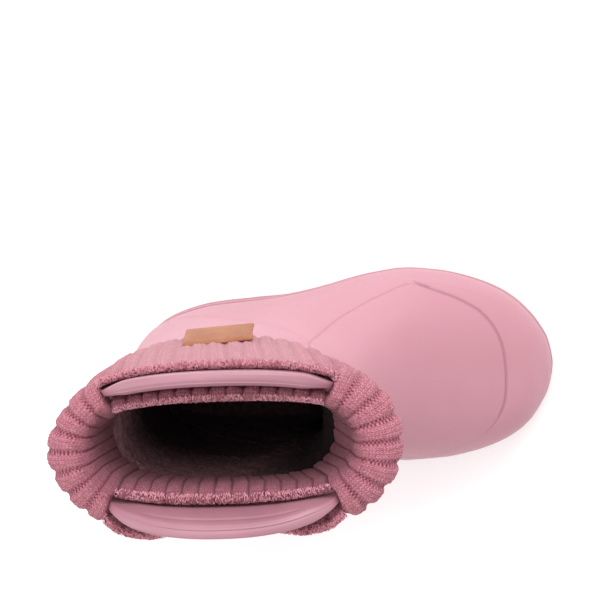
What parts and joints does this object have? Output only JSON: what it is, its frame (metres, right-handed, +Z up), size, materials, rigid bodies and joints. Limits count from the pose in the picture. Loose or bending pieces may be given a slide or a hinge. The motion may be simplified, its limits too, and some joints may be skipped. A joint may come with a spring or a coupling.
{
  "type": "rubber boot",
  "caption": "Child's moulded rubber winter boot for the left foot, with pull handles, lugged outsole and a ribbed knit collar folded over the rim.",
  "frame": {"origin": "on the ground under the middle of the heel", "axes": "+X to the toe, +Y to the boot's left (outer) side, +Z up the shaft"},
  "size_m": [0.2013, 0.0846, 0.177],
  "materials": {
    "shell": "satin moulded foam rubber, smooth",
    "sole": "matte moulded rubber",
    "lining": "grey brushed fleece",
    "knit": "matte ribbed wool knit",
    "tag": "smooth tan leather, unmarked"
  },
  "bodies": {
    "root": {"upper": "shell", "outsole": "sole", "insole": "lining", "collar": "knit", "tag": "tag"}
  },
  "joints": []
}
